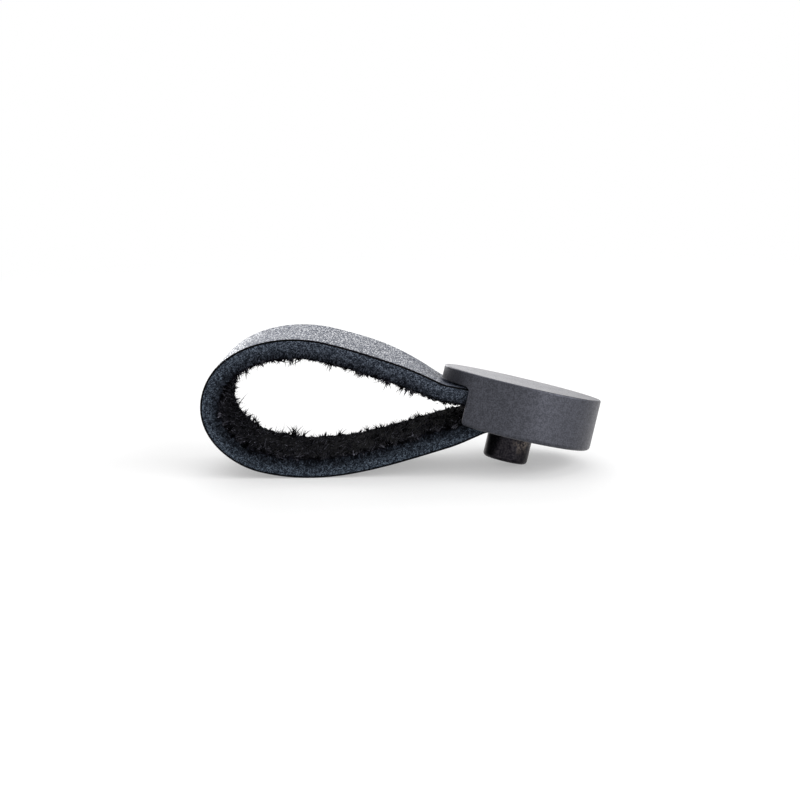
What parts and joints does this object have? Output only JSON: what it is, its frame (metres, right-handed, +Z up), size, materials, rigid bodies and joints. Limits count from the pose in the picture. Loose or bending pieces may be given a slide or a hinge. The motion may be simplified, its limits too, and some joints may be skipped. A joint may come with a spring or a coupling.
{
  "type": "furniture handle",
  "caption": "Furniture pull: a black leather strap folded into a loop and held in the notch of a round, dark grey metal cap with a threaded boss.",
  "frame": {"origin": "centre of the bounding box in plan, on the surface that the handle lies on", "axes": "+Z up, +X along the handle from the loop to the cap, +Y across the strap; the handle lies as it comes to rest, with the face of the cap up, on the loop and on the tip of the boss"},
  "size_m": [0.074, 0.0308, 0.026],
  "materials": {
    "satin_metal": "fine speckled satin, dark grey",
    "black_leather": "pebbled grain outside, raw fibrous flesh side inside, dyed cut edges"
  },
  "bodies": {
    "root": {"cap": "satin_metal", "strap": "black_leather"}
  },
  "joints": []
}
